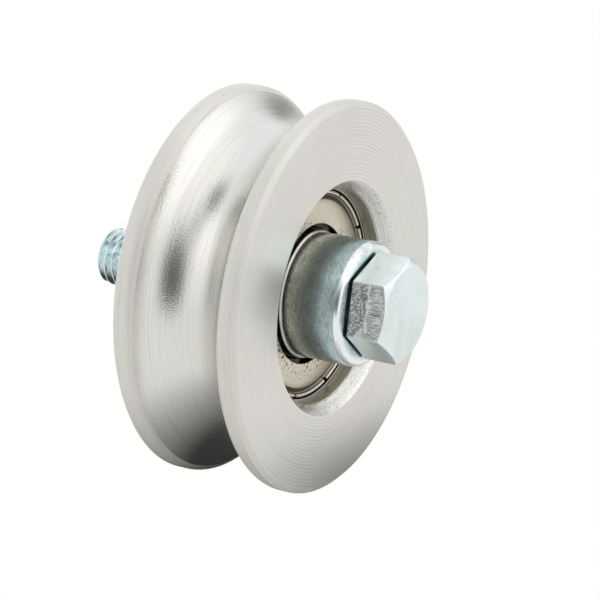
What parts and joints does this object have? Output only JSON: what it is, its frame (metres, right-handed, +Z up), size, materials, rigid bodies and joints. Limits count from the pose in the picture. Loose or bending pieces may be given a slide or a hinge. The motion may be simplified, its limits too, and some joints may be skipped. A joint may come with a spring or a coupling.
{
  "type": "gate wheel",
  "caption": "Grooved steel wheel for a sliding gate, turning on a shielded ball bearing that two spacers carry on a hex bolt with a nut.",
  "frame": {"origin": "the wheel's centre, on the bolt's axis and midway between the wheel's two side faces", "axes": "+Y along the bolt from its head to its threaded end, +Z up, +X along the track"},
  "size_m": [0.08, 0.071, 0.08],
  "materials": {
    "turned_steel": "turned bare steel, satin",
    "bearing_steel": "ground hardened steel",
    "shield_steel": "pressed sheet, satin",
    "ball_steel": "polished",
    "cage_steel": "pressed sheet, riveted",
    "spring_steel": "dark oiled spring steel",
    "spacer_zinc": "zinc plated, dull",
    "bolt_zinc": "bright blue zinc plating"
  },
  "bodies": {
    "axle": {"hex_bolt": "bolt_zinc", "front_spacer": "spacer_zinc", "rear_spacer": "spacer_zinc", "bearing_inner_ring": "bearing_steel", "hex_nut": "bolt_zinc"},
    "wheel": {"wheel": "turned_steel", "bearing_outer_ring": "bearing_steel", "front_shield": "shield_steel", "rear_shield": "shield_steel", "retaining_ring": "spring_steel"},
    "cage": {"cage_front_half": "cage_steel", "cage_rear_half": "cage_steel", "cage_rivet_1": "cage_steel", "cage_rivet_2": "cage_steel", "cage_rivet_3": "cage_steel", "cage_rivet_4": "cage_steel", "cage_rivet_5": "cage_steel", "cage_rivet_6": "cage_steel", "cage_rivet_7": "cage_steel"},
    "ball_1": {"ball_1": "ball_steel"},
    "ball_2": {"ball_2": "ball_steel"},
    "ball_3": {"ball_3": "ball_steel"},
    "ball_4": {"ball_4": "ball_steel"},
    "ball_5": {"ball_5": "ball_steel"},
    "ball_6": {"ball_6": "ball_steel"},
    "ball_7": {"ball_7": "ball_steel"}
  },
  "joints": [
    {"name": "wheel_spin", "type": "hinge", "parent": "axle", "child": "wheel", "pos_m": [0, 0, 0], "axis": [0, 1, 0], "continuous": true},
    {"name": "cage_spin", "type": "hinge", "parent": "axle", "child": "cage", "pos_m": [0, -0.0014, 0], "axis": [0, 1, 0], "continuous": true},
    {"name": "ball_1_spin", "type": "hinge", "parent": "cage", "child": "ball_1", "pos_m": [0.016, -0.0014, 0], "axis": [0, 1, 0], "continuous": true},
    {"name": "ball_2_spin", "type": "hinge", "parent": "cage", "child": "ball_2", "pos_m": [0.00998, -0.0014, 0.01251], "axis": [0, 1, 0], "continuous": true},
    {"name": "ball_3_spin", "type": "hinge", "parent": "cage", "child": "ball_3", "pos_m": [-0.00356, -0.0014, 0.0156], "axis": [0, 1, 0], "continuous": true},
    {"name": "ball_4_spin", "type": "hinge", "parent": "cage", "child": "ball_4", "pos_m": [-0.01442, -0.0014, 0.00694], "axis": [0, 1, 0], "continuous": true},
    {"name": "ball_5_spin", "type": "hinge", "parent": "cage", "child": "ball_5", "pos_m": [-0.01442, -0.0014, -0.00694], "axis": [0, 1, 0], "continuous": true},
    {"name": "ball_6_spin", "type": "hinge", "parent": "cage", "child": "ball_6", "pos_m": [-0.00356, -0.0014, -0.0156], "axis": [0, 1, 0], "continuous": true},
    {"name": "ball_7_spin", "type": "hinge", "parent": "cage", "child": "ball_7", "pos_m": [0.00998, -0.0014, -0.01251], "axis": [0, 1, 0], "continuous": true}
  ],
  "couplings": [
    {"joint": "cage_spin", "follows": "wheel_spin", "ratio": 0.63642},
    {"joint": "ball_1_spin", "follows": "wheel_spin", "ratio": 1.6961},
    {"joint": "ball_2_spin", "follows": "wheel_spin", "ratio": 1.6961},
    {"joint": "ball_3_spin", "follows": "wheel_spin", "ratio": 1.6961},
    {"joint": "ball_4_spin", "follows": "wheel_spin", "ratio": 1.6961},
    {"joint": "ball_5_spin", "follows": "wheel_spin", "ratio": 1.6961},
    {"joint": "ball_6_spin", "follows": "wheel_spin", "ratio": 1.6961},
    {"joint": "ball_7_spin", "follows": "wheel_spin", "ratio": 1.6961}
  ]
}
